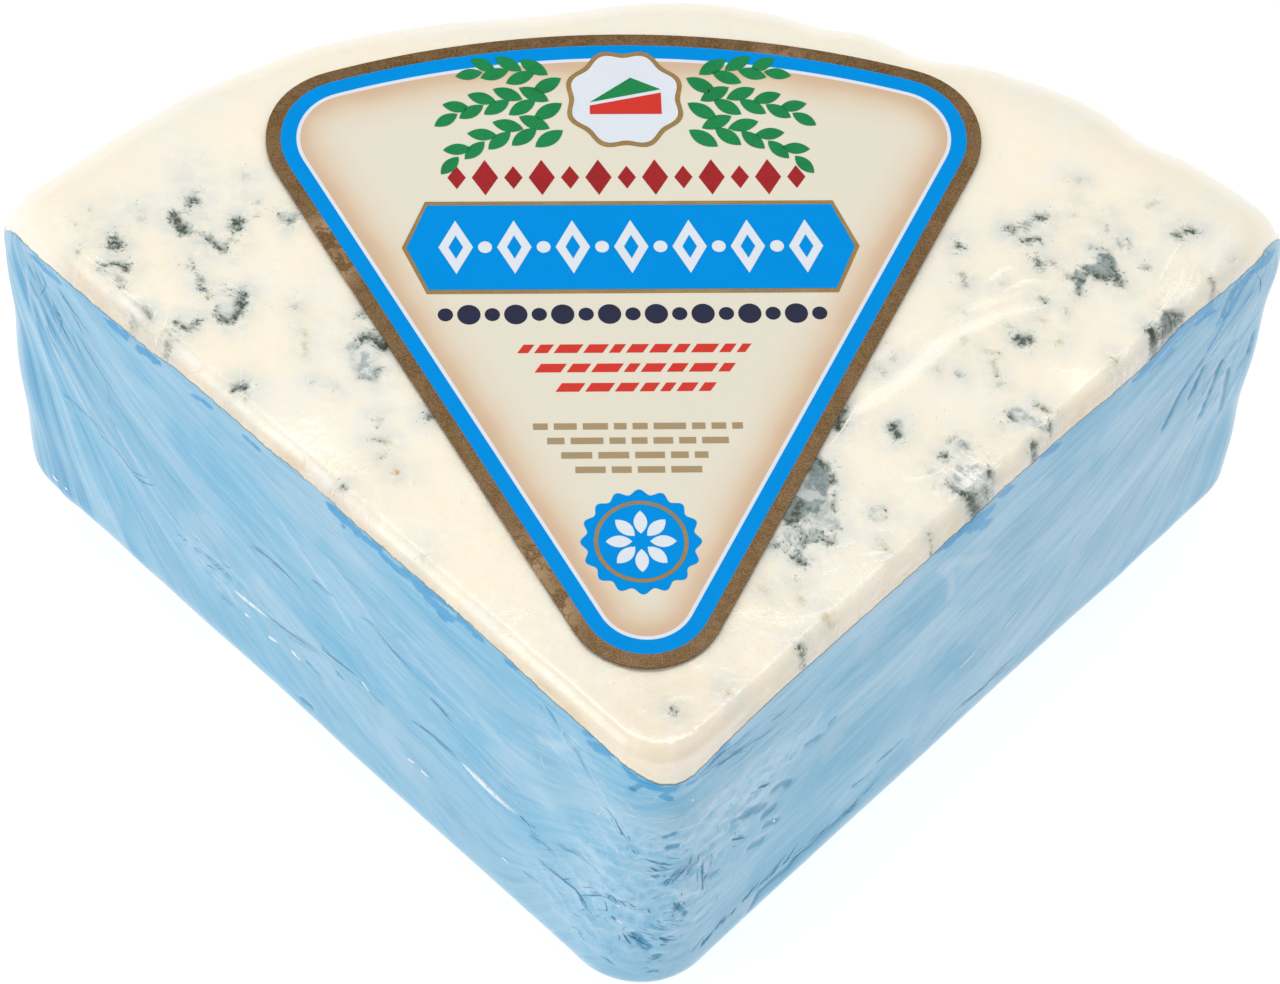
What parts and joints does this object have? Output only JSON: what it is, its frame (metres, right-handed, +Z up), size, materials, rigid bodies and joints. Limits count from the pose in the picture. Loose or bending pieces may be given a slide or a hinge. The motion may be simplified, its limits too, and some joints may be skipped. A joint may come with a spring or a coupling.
{
  "type": "gorgonzola wedge",
  "caption": "Quarter-round wedge of blue-veined cheese, wrapped in film that is blue on the sides and clear on top, with a paper label.",
  "frame": {"origin": "middle of the bounding box's underside, on the flat base that the wedge rests on", "axes": "+Z up from the base, -Y towards the wedge's tip, +Y towards its rind, +X to the right when looking along +Y"},
  "size_m": [0.1971, 0.1415, 0.0856],
  "materials": {
    "cheese": "moist cut paste with blue-green veins",
    "blue_film": "glossy creased printed film",
    "clear_film": "thin clear glossy film",
    "label_paper": "satin printed paper under film"
  },
  "bodies": {
    "root": {"cheese_wedge": "cheese", "blue_wrap": "blue_film", "clear_top": "clear_film", "label": "label_paper"}
  },
  "joints": []
}
